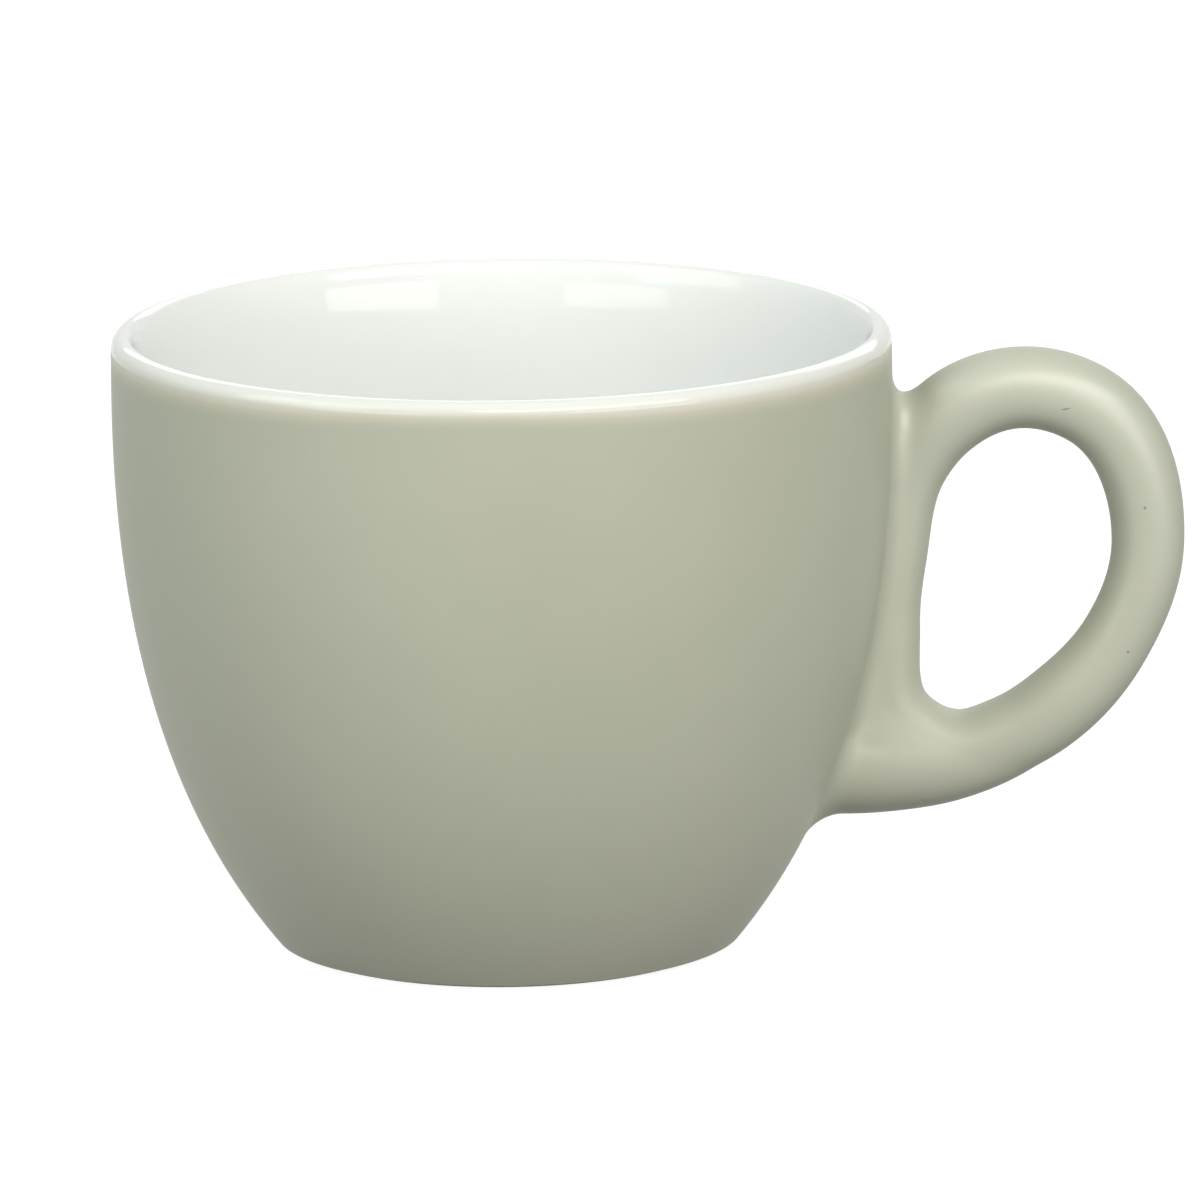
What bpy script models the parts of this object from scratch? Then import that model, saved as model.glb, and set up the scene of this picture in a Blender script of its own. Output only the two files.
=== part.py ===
"""Espresso cup: a porcelain bowl with a solid ring handle, under three coats of glaze.

The bowl is turned from one path that runs from the middle of the floor, up the inside, over the lip and
down the outside to the foot. That path is the finished, glazed surface. The clay lies a coat of glaze
deeper. The handle is a closed ring with a short arm, cut to the curve of the bowl and bedded in slip,
which is wiped to a hollow round all along the joint.
"""
import math

import bmesh
import bpy
from mathutils import Vector

MM = 0.001

# Bowl
RIM_DIAMETER = 65.0 * MM
CUP_HEIGHT = 52.0 * MM
FOOT_DIAMETER = 39.2 * MM        # outside of the wall at the lower edge of the glaze
WALL_AT_LIP = 2.3 * MM
WALL_AT_HEEL = 5.4 * MM          # wall just above the floor
FLOOR_THICKNESS = 4.6 * MM
FLOOR_FLAT_DIAMETER = 18.0 * MM
FLOOR_BLEND_HEIGHT = 9.0 * MM    # the wall starts to turn into the floor at this height above it
FLARE_ANGLE = math.radians(38.9) # lean of the wall at the foot, from upright
FLARE_REACH = 0.35               # height of the flare's pull, as a part of the wall's height
RIM_REACH = 0.147                # length of the upright pull under the rim, in the same terms

# Foot
BARE_FOOT_HEIGHT = 0.45 * MM     # unglazed edge that stands on the table
FOOT_EDGE = 0.8 * MM             # how far the rounded outer edge of the foot reaches in
FOOT_RING_WIDTH = 2.2 * MM       # flat face that stands on the table
RECESS_DEPTH = 1.6 * MM
RECESS_SLOPE = 0.9 * MM          # run of the recess's side

# Handle: finished sizes, outside the glaze
HANDLE_REACH = 24.35 * MM        # from the rim to the handle's outermost point
HANDLE_TOP_DROP = 2.3 * MM       # from the rim down to the top of the ring
ARM_CLEARANCE = 10.1 * MM        # from the table up to the underside of the arm
CROWN_THICKNESS = 6.85 * MM      # at the top
GRIP_THICKNESS = 6.1 * MM        # at the outermost point
SWEEP_THICKNESS = 6.7 * MM       # on the way down to the arm
ARM_THICKNESS = 7.4 * MM         # where the ring turns up along the bowl
ROOT_THICKNESS = 8.6 * MM        # where the arm runs on into the bowl
SHOULDER_THICKNESS = 7.0 * MM    # where the ring leaves the bowl at the top
STRIP_THICKNESS = 8.0 * MM       # whole section of the strip, of which part is cut away by the bowl
STRIP_PROUD = 3.65 * MM          # how far the strip stands out from the bowl, halfway
PROUD_AT_HEEL = 4.1 * MM         # and a step lower
PROUD_AT_ARM = 6.2 * MM          # and at its lower end
PROUD_AT_CROWN = 5.1 * MM        # and at its upper end
HIDDEN_STEP = 1.8 * MM           # how much thinner a bar is where it runs inside the ring
ROOT_FILLET = 1.4 * MM           # hollow round where the handle meets the bowl

# Coats and fits
GLAZE = 0.3 * MM
SLIP = 0.5 * MM
FILLET_GAP = 0.2 * MM            # between the slip's fillet and the glaze over it
FILLET_SINK = 0.1 * MM           # how far a fillet's edges run under wall and handle
FILLET_BED = 1.2 * MM            # how deep a fillet's form reaches into wall and handle
SEAT_GAP = 0.05 * MM             # between pieces that lie on each other
OVERRUN = 3.0 * MM               # how far a cutting form runs past what it cuts

# Fineness
TURN_STEPS = 44
WALL_STEPS = 10
FLOOR_STEPS = 5
LIP_STEPS = 6
RING_STEPS = 3                   # between two of the ring's points
RING_SIDES = 14
SMOOTH_PULL = 2.9                # a span's length over the pull at its ends
SIDE_STEPS = 9                   # fillet sections along each side of the root
END_STEPS = 6                    # and round each end
FILLET_STEPS = 4
FILLET_HALVINGS = 16             # of the search for the handle's side
SHARP_ANGLE = math.radians(35)

# Colours
SAGE = (0.42, 0.42, 0.33, 1.0)
WHITE = (0.83, 0.84, 0.80, 1.0)
CLAY = (0.80, 0.77, 0.71, 1.0)

rim_radius = RIM_DIAMETER / 2
lip_radius = WALL_AT_LIP / 2
lip_line = CUP_HEIGHT - lip_radius
floor_height = RECESS_DEPTH + FLOOR_THICKNESS
clay_depth = GLAZE + SEAT_GAP
arm_height = ARM_CLEARANCE + ROOT_THICKNESS / 2


def bezier(points, share):
    """Point on a Bezier curve of any degree."""
    points = [Vector(point) for point in points]
    while len(points) > 1:
        points = [a.lerp(b, share) for a, b in zip(points, points[1:])]
    return points[0]


def curve_points(points, steps):
    return [bezier(points, i / steps) for i in range(steps + 1)]


def outer_wall():
    """Outside of the bowl, from the lip line down to the lower edge of the glaze."""
    rise = lip_line - BARE_FOOT_HEIGHT
    foot = Vector((FOOT_DIAMETER / 2, BARE_FOOT_HEIGHT))
    pull = FLARE_REACH * rise
    flare = foot + Vector((pull * math.tan(FLARE_ANGLE), pull))
    rim = Vector((rim_radius, lip_line))
    under_rim = rim - Vector((0, RIM_REACH * rise))
    return curve_points([rim, under_rim, flare, foot], WALL_STEPS)


def lip_arc():
    """Round of the lip, from the inside over the top to the outside, without its two ends."""
    centre = Vector((rim_radius - lip_radius, lip_line))
    angles = [math.pi * (1 - i / LIP_STEPS) for i in range(1, LIP_STEPS)]
    return [centre + lip_radius * Vector((math.cos(a), math.sin(a))) for a in angles]


def side_normals(path):
    """Air-side normal of each stretch of a path; air lies on the left of its run."""
    runs = [(b - a).normalized() for a, b in zip(path, path[1:])]
    return [Vector((-run.y, run.x)) for run in runs]


def inset(path, depth):
    """Path moved into the clay by a depth, every stretch parallel to the one it came from."""
    normals = side_normals(path)
    before = normals[:1] + normals
    after = normals + normals[-1:]
    moved = []
    for point, a, b in zip(path, before, after):
        moved.append(point - depth * (a + b) / (1 + a.dot(b)))
    return moved


def inner_wall(outside):
    """Inside of the bowl, from the middle of the floor up to the lip."""
    wall = []
    normals = side_normals(outside)
    normals = [Vector((1, 0))] + [(a + b).normalized() for a, b in zip(normals, normals[1:])]
    for i, (point, normal) in enumerate(zip(outside, normals)):
        thickness = WALL_AT_LIP + (WALL_AT_HEEL - WALL_AT_LIP) * i / WALL_STEPS
        inside = point - thickness * normal
        if inside.y < floor_height + FLOOR_BLEND_HEIGHT:
            break
        wall.append(inside)
    run = wall[-1] - wall[-2]
    corner = wall[-1] + run * (floor_height - wall[-1].y) / run.y
    flat_edge = Vector((FLOOR_FLAT_DIAMETER / 2, floor_height))
    blend = curve_points([flat_edge, corner, wall[-1]], FLOOR_STEPS)
    return [Vector((0, floor_height))] + blend + wall[-2::-1]


def foot_edge(clay_outside):
    """Bare clay from the glaze's lower edge round to the flat that stands on the table."""
    start = clay_outside[-1]
    run = start - clay_outside[-2]
    corner = start - run * start.y / run.y
    flat = Vector((corner.x - FOOT_EDGE, 0))
    return curve_points([start, corner, flat], 3)[1:]


def underside(flat_start):
    """Clay of the recess, from the inner edge of the standing flat up to the middle."""
    ceiling = RECESS_DEPTH + clay_depth
    edge = Vector((flat_start.x - FOOT_RING_WIDTH, 0))
    return [edge, Vector((edge.x - RECESS_SLOPE, ceiling)), Vector((0, ceiling))]


def new_object(name, data, collection):
    obj = bpy.data.objects.new(name, data)
    collection.objects.link(obj)
    obj.parent = cup
    return obj


def turned(name, path, collection, closed=False):
    """Solid turned round the bowl's axis from a path that runs down its outer side."""
    edges = [(i, i + 1) for i in range(len(path) - 1)]
    if closed:
        edges.append((len(path) - 1, 0))
    mesh = bpy.data.meshes.new(name)
    mesh.from_pydata([(p.x, 0, p.y) for p in path], edges, [])
    obj = new_object(name, mesh, collection)
    screw = obj.modifiers.new("Turn", "SCREW")
    screw.steps = TURN_STEPS
    screw.render_steps = TURN_STEPS
    screw.use_merge_vertices = True
    screw.merge_threshold = 0.00001
    screw.use_smooth_shade = True
    return obj


def boolean(obj, operation, other):
    modifier = obj.modifiers.new(operation.title(), "BOOLEAN")
    modifier.operation = operation
    modifier.use_self = True
    modifier.object = other


def as_mesh(obj, collection):
    """Mesh of triangles in place of a curve or of an object with modifiers."""
    bpy.context.view_layer.update()
    evaluated = obj.evaluated_get(bpy.context.evaluated_depsgraph_get())
    mesh = bpy.data.meshes.new_from_object(evaluated)
    work = bmesh.new()
    work.from_mesh(mesh)
    bmesh.ops.remove_doubles(work, verts=work.verts, dist=0.000001)
    bmesh.ops.triangulate(work, faces=work.faces)
    work.to_mesh(mesh)
    work.free()
    name = obj.name
    obj.name = name + "_source"
    made = new_object(name, mesh, collection)
    made.matrix_world = obj.matrix_world
    bpy.data.objects.remove(obj)
    return made


def wall_radius(outside, height):
    """Radius of the finished outside at a height."""
    for upper, lower in zip(outside, outside[1:]):
        if lower.y <= height <= upper.y:
            return lower.lerp(upper, (height - lower.y) / (upper.y - lower.y)).x
    return outside[-1].x


def handle_lines():
    """Middle lines of the handle's ring, of the arm and of the web over it, as places with a thickness."""
    outside = outer_wall()
    root = arm_height
    crown = CUP_HEIGHT - HANDLE_TOP_DROP - CROWN_THICKNESS / 2
    grip = rim_radius + HANDLE_REACH - GRIP_THICKNESS / 2

    def loop(across, up, thickness):
        return (rim_radius + across * (grip - rim_radius), root + up * (crown - root), thickness)

    def along_bowl(up, proud, thickness):
        height = root + up * (crown - root)
        return (wall_radius(outside, height) + proud - thickness / 2, height, thickness)

    ring = [
        loop(0.45, 1.00, CROWN_THICKNESS),
        loop(0.768, 0.952, CROWN_THICKNESS),
        loop(1.00, 0.60, GRIP_THICKNESS),
        loop(0.88, 0.333, GRIP_THICKNESS),
        loop(0.67, 0.163, SWEEP_THICKNESS),
        loop(0.471, 0.074, SWEEP_THICKNESS),
        loop(0.204, 0.023, ARM_THICKNESS),
        along_bowl(0.15, PROUD_AT_ARM, ROOT_THICKNESS),
        along_bowl(0.337, PROUD_AT_HEEL, STRIP_THICKNESS),
        along_bowl(0.568, STRIP_PROUD, STRIP_THICKNESS),
        along_bowl(0.79, PROUD_AT_CROWN, STRIP_THICKNESS),
        loop(0.195, 0.917, SHOULDER_THICKNESS),
    ]
    arm = [
        loop(0.42, 0.064, ARM_THICKNESS - HIDDEN_STEP),
        loop(0.215, 0.019, ARM_THICKNESS),
        loop(-0.03, 0.002, ROOT_THICKNESS),
        along_bowl(0.004, 0.0, ROOT_THICKNESS),
    ]
    hidden = STRIP_THICKNESS - HIDDEN_STEP
    web = [along_bowl(up, STRIP_PROUD - HIDDEN_STEP / 2, hidden) for up in (0.0, 0.15, 0.30)]
    return smooth_line(ring, True), smooth_line(arm, False), smooth_line(web, False)


def through(before, middle, after):
    """Direction at the middle of three stations, turned further towards the nearer one's side."""
    arriving = middle - before
    leaving = after - middle
    if not arriving.length:
        return leaving.normalized()
    if not leaving.length:
        return arriving.normalized()
    return (arriving.normalized() * leaving.length + leaving.normalized() * arriving.length).normalized()


def smooth_line(stations, cyclic):
    """Smooth line through stations of place and thickness, with RING_STEPS stretches between two."""
    stations = [Vector(station) for station in stations]
    count = len(stations)
    spans = count if cyclic else count - 1
    line = []
    for i in range(spans):
        a = stations[i]
        b = stations[(i + 1) % count]
        before = stations[i - 1] if cyclic or i else a
        after = stations[(i + 2) % count] if cyclic or i + 2 < count else b
        reach = (b - a).length / SMOOTH_PULL
        pull_a = through(before, a, b) * reach
        pull_b = through(a, b, after) * reach
        line += curve_points([a, a + pull_a, b - pull_b, b], RING_STEPS)[:-1]
    return line if cyclic else line + [stations[-1]]


def tube(name, line, growth, cyclic):
    """Round bar along a line, its surface moved out by a growth."""
    curve = bpy.data.curves.new(name, "CURVE")
    curve.dimensions = "3D"
    curve.bevel_depth = MM
    curve.bevel_resolution = RING_SIDES // 2 - 2
    curve.use_fill_caps = not cyclic
    spline = curve.splines.new("POLY")
    spline.points.add(len(line) - 1)
    spline.use_cyclic_u = cyclic
    for point, (across, height, thickness) in zip(spline.points, line):
        point.co = (across, 0, height, 1)
        point.radius = (thickness / 2 + growth) / MM
    return as_mesh(new_object(name, curve, cutters), cutters)


def handle_form(name, growth):
    """Ring, arm and web joined to one form, its surface moved out by a growth."""
    ring, arm, web = handle_lines()
    form = tube(name, ring, growth, True)
    bars = [tube(name + "_arm", arm, growth, False), tube(name + "_web", web, growth, False)]
    for bar in bars:
        boolean(form, "UNION", bar)
    joined = as_mesh(form, cutters)
    for bar in bars:
        bpy.data.objects.remove(bar)
    return as_cutter(joined)


def handle_distance(point, lines):
    """Distance of a point from the finished surface of the handle, less than 0 inside it."""
    nearest = math.inf
    for line in lines:
        for a, b in line:
            start = Vector((a.x, 0, a.y))
            run = Vector((b.x, 0, b.y)) - start
            share = min(max((point - start).dot(run) / run.length_squared, 0), 1)
            radius = (a.z + share * (b.z - a.z)) / 2
            nearest = min(nearest, (point - start - share * run).length - radius)
    return nearest


def wall_frame(wall, aside, height):
    """Place on the outer wall, and its outward direction, at an arc's length aside and a height."""
    for upper, lower in zip(wall, wall[1:]):
        if lower.y <= height:
            break
    run = upper - lower
    radius = lower.x + run.x * (height - lower.y) / run.y
    turn = aside / radius
    out = Vector((run.y, -run.x)).normalized()
    place = Vector((radius * math.cos(turn), radius * math.sin(turn), height))
    return place, Vector((out.x * math.cos(turn), out.x * math.sin(turn), out.y))


def root_directions():
    """Starts and directions on the wall, all round the root of the handle."""
    low = arm_height
    high = CUP_HEIGHT - HANDLE_TOP_DROP - CROWN_THICKNESS - SHOULDER_THICKNESS / 2
    side = [low + (high - low) * i / SIDE_STEPS for i in range(SIDE_STEPS + 1)]
    fan = [math.pi * i / END_STEPS for i in range(1, END_STEPS)]
    starts = [(height, 0.0) for height in side]
    starts += [(high, angle) for angle in fan]
    starts += [(height, math.pi) for height in reversed(side)]
    starts += [(low, math.pi + angle) for angle in fan]
    return starts


def fillet_section(wall, lines, height, angle, depth):
    """Section of the fillet where a direction on the wall leaves the handle."""
    radius = ROOT_FILLET + min(depth, GLAZE)

    def place(along, out):
        spot, normal = wall_frame(wall, along * math.cos(angle), height + along * math.sin(angle))
        return spot + out * normal

    def handle_side(out):
        inside, outside = 0.0, 2 * ROOT_THICKNESS
        for _ in range(FILLET_HALVINGS):
            middle = (inside + outside) / 2
            if handle_distance(place(middle, out), lines) < -depth:
                inside = middle
            else:
                outside = middle
        return inside

    section = []
    for i in range(FILLET_STEPS + 1):
        turn = math.pi / 2 * i / FILLET_STEPS
        out = radius * (1 - math.cos(turn)) - FILLET_SINK
        section.append(place(handle_side(out) + radius * (1 - math.sin(turn)) - FILLET_SINK, out))
    section.append(place(handle_side(radius) - FILLET_BED, radius - FILLET_SINK))
    section.append(place(handle_side(0.0) - FILLET_BED, -FILLET_BED))
    section.append(place(handle_side(0.0) + radius - FILLET_SINK, -FILLET_BED))
    return section


def fillet_bead(name, surface, lip_end, depth):
    """Hollow round in the corner between wall and handle, at a depth under the finished surface."""
    wall = inset(surface, depth)[lip_end:]
    ring, arm, web = handle_lines()
    lines = [list(zip(line, line[1:])) for line in (ring + ring[:1], arm, web)]
    work = bmesh.new()
    loops = []
    for height, angle in root_directions():
        section = fillet_section(wall, lines, height, angle, depth)
        loops.append([work.verts.new(point) for point in section])
    for loop, after in zip(loops, loops[1:] + loops[:1]):
        for i in range(len(loop)):
            work.faces.new((loop[i - 1], loop[i], after[i], after[i - 1]))
    bmesh.ops.recalc_face_normals(work, faces=work.faces)
    bmesh.ops.triangulate(work, faces=work.faces)
    mesh = bpy.data.meshes.new(name)
    work.to_mesh(mesh)
    work.free()
    return as_cutter(new_object(name, mesh, cutters))


def bowl_plug(name, surface, lip_end, depth):
    """Solid inside of the outer wall at a depth, run past the lip line and the foot."""
    wall = inset(surface, depth)[lip_end:]
    above = wall[0] + Vector((0, OVERRUN))
    below = wall[-1] + (wall[-1] - wall[-2]).normalized() * OVERRUN
    path = [Vector((0, above.y)), above] + wall + [below, Vector((0, below.y))]
    return as_cutter(turned(name, path, cutters))


def as_cutter(obj):
    obj.hide_render = True
    obj.display_type = "WIRE"
    return obj


def finish(obj, colour, roughness):
    """Piece as a plain mesh, shaded round, with its own material."""
    made = as_mesh(obj, parts)
    made.data.shade_smooth()
    made.data.set_sharp_from_angle(angle=SHARP_ANGLE)
    material = bpy.data.materials.new(made.name)
    material.use_nodes = True
    shader = material.node_tree.nodes["Principled BSDF"]
    shader.inputs["Base Color"].default_value = colour
    shader.inputs["Roughness"].default_value = roughness
    shader.inputs["Metallic"].default_value = 0.0
    made.data.materials.clear()
    made.data.materials.append(material)


def make_body(surface):
    clay = inset(surface, clay_depth)
    foot = foot_edge(clay)
    recess = underside(foot[-1])
    finish(turned("cup_body", clay + foot + recess, parts), CLAY, 0.6)
    return recess


def make_base_glaze(recess):
    laid = inset(recess, -SEAT_GAP)
    bare = inset(recess, -SEAT_GAP - GLAZE)
    for face in (laid, bare):
        face[0] = face[0].lerp(face[1], (BARE_FOOT_HEIGHT - face[0].y) / (face[1].y - face[0].y))
    finish(turned("base_glaze", laid[::-1] + bare, parts), WHITE, 0.15)


def make_liner_glaze(surface, lip_end):
    laid = inset(surface, GLAZE)[:lip_end + 1]
    laid[-1].y = lip_line
    finish(turned("liner_glaze", surface[:lip_end + 1] + laid[::-1], parts), WHITE, 0.12)


def make_handle(surface, lip_end):
    handle = handle_form("handle", -clay_depth)
    boolean(handle, "DIFFERENCE", bowl_plug("handle_seat", surface, lip_end, GLAZE - SLIP - SEAT_GAP))
    finish(handle, CLAY, 0.6)


def make_handle_slip(surface, lip_end):
    behind = inset(surface, GLAZE + SLIP)[lip_end:]
    ahead = inset(surface, -SLIP)[lip_end:]
    slip = turned("handle_slip", ahead + behind[::-1], parts, closed=True)
    boolean(slip, "INTERSECT", handle_form("slip_outline", -clay_depth))
    boolean(slip, "UNION", fillet_bead("slip_bead", surface, lip_end, GLAZE + FILLET_GAP))
    boolean(slip, "DIFFERENCE", bowl_plug("slip_back", surface, lip_end, GLAZE))
    seated = handle_form("seated_handle", SEAT_GAP - clay_depth)
    boolean(seated, "DIFFERENCE", bowl_plug("slip_front", surface, lip_end, GLAZE - SLIP))
    boolean(slip, "DIFFERENCE", seated)
    finish(slip, CLAY, 0.6)


def make_outer_glaze(surface, lip_end):
    top = lip_line - SEAT_GAP
    wall = surface[lip_end + 1:]
    path = [Vector((0, top)), Vector((rim_radius, top))] + wall + [Vector((0, wall[-1].y))]
    coat = turned("outer_glaze", path, parts)
    boolean(coat, "UNION", handle_form("glazed_handle", 0))
    boolean(coat, "UNION", fillet_bead("glazed_fillet", surface, lip_end, 0))
    under = bowl_plug("under_glaze", surface, lip_end, GLAZE)
    boolean(under, "UNION", handle_form("under_glaze_handle", -GLAZE))
    boolean(under, "UNION", fillet_bead("under_glaze_fillet", surface, lip_end, GLAZE))
    boolean(coat, "DIFFERENCE", under)
    finish(coat, SAGE, 0.35)


def main():
    outside = outer_wall()
    inside = inner_wall(outside)
    surface = inside + lip_arc() + outside
    lip_end = len(inside) + LIP_STEPS - 1
    recess = make_body(surface)
    make_base_glaze(recess)
    make_liner_glaze(surface, lip_end)
    make_handle(surface, lip_end)
    make_handle_slip(surface, lip_end)
    make_outer_glaze(surface, lip_end)


for leftover in list(bpy.data.objects):
    bpy.data.objects.remove(leftover)
parts = bpy.data.collections.new("espresso_cup")
cutters = bpy.data.collections.new("cutters")
for group in (parts, cutters):
    bpy.context.scene.collection.children.link(group)
cup = bpy.data.objects.new("bowl_axis", None)
parts.objects.link(cup)
cup.location.x = -HANDLE_REACH / 2
main()
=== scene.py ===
import math

import bmesh
import bpy
import numpy as np
from mathutils import Matrix, Vector
from mathutils.geometry import interpolate_bezier


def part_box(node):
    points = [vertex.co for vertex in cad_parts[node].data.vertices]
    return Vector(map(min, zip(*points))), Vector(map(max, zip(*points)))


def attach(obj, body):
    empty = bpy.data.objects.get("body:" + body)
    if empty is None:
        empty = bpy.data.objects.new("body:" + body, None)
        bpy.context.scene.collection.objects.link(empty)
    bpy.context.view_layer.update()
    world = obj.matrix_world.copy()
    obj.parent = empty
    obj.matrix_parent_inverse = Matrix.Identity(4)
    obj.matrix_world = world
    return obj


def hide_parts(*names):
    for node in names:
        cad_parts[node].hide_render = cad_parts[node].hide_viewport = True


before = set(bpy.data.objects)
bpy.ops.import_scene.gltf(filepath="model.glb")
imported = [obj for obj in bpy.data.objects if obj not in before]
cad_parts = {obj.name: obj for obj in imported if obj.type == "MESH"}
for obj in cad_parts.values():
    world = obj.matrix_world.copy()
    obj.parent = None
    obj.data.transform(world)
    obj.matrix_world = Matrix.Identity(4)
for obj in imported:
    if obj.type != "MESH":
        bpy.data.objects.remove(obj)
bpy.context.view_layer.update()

mm = 0.001
scene = bpy.context.scene
scene.view_settings.view_transform = "Standard"
linerLow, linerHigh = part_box("liner_glaze")
axisX = (linerLow[0] + linerHigh[0]) / 2   # the bowl's own axis, the origin lies between bowl and handle
print("frame loaded, bowl axis at", round(axisX / mm, 3), "mm")

# camera, from the photograph's 1200 x 1200 frame
view = dict(
    back=876.7 * mm, height=219.8 * mm,
    tiltDown=12.30, turnRight=0.52, roll=-0.68,
    focalPixels=10723.0, framePixels=1200.0, sensor=36.0,
)


def makeCamera():
    data = bpy.data.cameras.new("photoCamera")
    camera = bpy.data.objects.new("photoCamera", data)
    scene.collection.objects.link(camera)
    data.sensor_width = view["sensor"]
    data.lens = view["focalPixels"] / view["framePixels"] * view["sensor"]
    turn = Matrix.Rotation(math.radians(-view["turnRight"]), 4, "Z")
    tilt = Matrix.Rotation(math.radians(90 - view["tiltDown"]), 4, "X")
    roll = Matrix.Rotation(math.radians(view["roll"]), 4, "Z")
    stand = Matrix.Translation((axisX, -view["back"], view["height"]))
    camera.matrix_world = stand @ turn @ tilt @ roll
    scene.camera = camera


makeCamera()

# shared sizes of the bowl, the same as the CAD's
bowl = dict(
    rim=32.5 * mm, height=52.0 * mm, lip=1.15 * mm,
    footRadius=19.6 * mm, footHeight=0.45 * mm,
    flare=38.9, flareReach=0.35, rimReach=0.147,
    glaze=0.3 * mm, gap=0.05 * mm,
    turnSteps=192, creaseAngle=40, weld=0.0005 * mm,
    searchSteps=200, fieldSteps=120,     # how finely the wall is sampled to find a radius or a distance
)
lipLine = bowl["height"] - bowl["lip"]


def curve(start, startPull, endPull, end, count):
    return [Vector(p) for p in interpolate_bezier(start, startPull, endPull, end, count)]


def corner(start, middle, end, count):
    # rounded corner: both pulls lean towards the same point
    return curve(start, start.lerp(middle, 2 / 3), end.lerp(middle, 2 / 3), end, count)


def inset(path, depth):
    # path moved to the right of its run by a depth, each stretch parallel to the one it came from
    sides = [Vector((a.y - b.y, b.x - a.x)).normalized() for a, b in zip(path, path[1:])]
    pairs = zip(path, sides[:1] + sides, sides + sides[-1:])
    return [p - depth * (a + b) / (1 + a.dot(b)) for p, a, b in pairs]


def wallCurve(count):
    # outside of the bowl from the lip line down to the foot, as (radius, height)
    rise = lipLine - bowl["footHeight"]
    pull = bowl["flareReach"] * rise
    foot = Vector((bowl["footRadius"], bowl["footHeight"]))
    rim = Vector((bowl["rim"], lipLine))
    flare = foot + Vector((pull * math.tan(math.radians(bowl["flare"])), pull))
    under = rim - Vector((0, bowl["rimReach"] * rise))
    return curve(rim, under, flare, foot, count)


def addPath(work, path):
    # a line of vertices in the XZ plane of the bowl's axis
    verts = [work.verts.new((axisX + p.x, 0, p.y)) for p in path]
    edges = [work.edges.new(pair) for pair in zip(verts, verts[1:])]
    return verts, edges


def turnPath(work, path):
    verts, edges = addPath(work, path)
    bmesh.ops.spin(work, geom=verts + edges, cent=(axisX, 0, 0), axis=(0, 0, 1), dvec=(0, 0, 0),
                   angle=2 * math.pi, steps=bowl["turnSteps"], use_merge=True)
    bmesh.ops.remove_doubles(work, verts=work.verts, dist=bowl["weld"])
    bmesh.ops.recalc_face_normals(work, faces=work.faces)


def makeObject(name, work):
    mesh = bpy.data.meshes.new(name)
    work.to_mesh(mesh)
    work.free()
    mesh.shade_smooth()
    mesh.set_sharp_from_angle(angle=math.radians(bowl["creaseAngle"]))
    obj = bpy.data.objects.new(name, mesh)
    scene.collection.objects.link(obj)
    return obj


def makePiece(name, work):
    obj = makeObject(name, work)
    print(name + ":", len(obj.data.polygons), "faces")
    return obj


def place(piece, slot, *nodes):
    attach(piece, "root")
    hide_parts(*nodes)


# sage coat: bowl outside and handle as one skin
handle = dict(
    reach=24.35 * mm, topDrop=2.3 * mm, clearance=10.1 * mm,
    crown=6.85 * mm, grip=6.1 * mm, sweep=6.7 * mm, arm=7.3 * mm, root=8.6 * mm, shoulder=6.9 * mm,
    heel=6.3 * mm, strip=6.0 * mm, fuse=5.0 * mm,     # fuse: the arm's end inside the sweep
    stationSteps=14, sides=48, smoothPull=2.9,
)
coat = dict(
    wallSteps=64,
    rounds=((10 * mm, 2.2 * mm), (38 * mm, 1.7 * mm), (45 * mm, 2.5 * mm)),   # height, hollow round there
    barBlend=4.0 * mm, softTurn=0.6 * mm, softLimit=30, tiny=1e-6,            # round between the bars
    zone=3.2 * mm, jointShare=0.8, longEdge=0.48 * mm,                        # where the skin is made finer
    deep=0.12 * mm, deepRounds=40,                 # what lies deep in the corner is spanned first
    sharpAngle=0.4, sharpReach=0.9 * mm, sharpEdge=0.16 * mm, sharpRounds=3,
    weld=0.06 * mm, sliver=0.01 * mm, flatness=0.999, refineRounds=2, relaxRounds=12, evenShare=0.5,
    newtonRounds=3, newtonStep=0.01 * mm, leastSlope=0.2,
)


def through(before, middle, after):
    # direction at the middle one of three places, closer to the nearer one's
    arriving, leaving = middle - before, after - middle
    if not arriving.length or not leaving.length:
        return (arriving + leaving).normalized()
    return (arriving.normalized() * leaving.length + leaving.normalized() * arriving.length).normalized()


def smoothLine(stations, cyclic):
    # smooth line through (across, height, thickness), stationSteps stretches between two of them
    stations = [Vector(s) for s in stations]
    count = len(stations)
    line = []
    for i in range(count if cyclic else count - 1):
        a, b = stations[i], stations[(i + 1) % count]
        before = stations[i - 1] if cyclic or i else a
        after = stations[(i + 2) % count] if cyclic or i + 2 < count else b
        reach = (b - a).length / handle["smoothPull"]
        pullA, pullB = through(before, a, b) * reach, through(a, b, after) * reach
        line += curve(a, a + pullA, b - pullB, b, handle["stationSteps"] + 1)[:-1]
    return line if cyclic else line + [stations[-1]]


def wallRadius(height):
    wall = wallCurve(bowl["searchSteps"])
    for upper, lower in zip(wall, wall[1:]):
        if lower.y <= height <= upper.y:
            return lower.lerp(upper, (height - lower.y) / (upper.y - lower.y)).x
    return wall[-1].x


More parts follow.
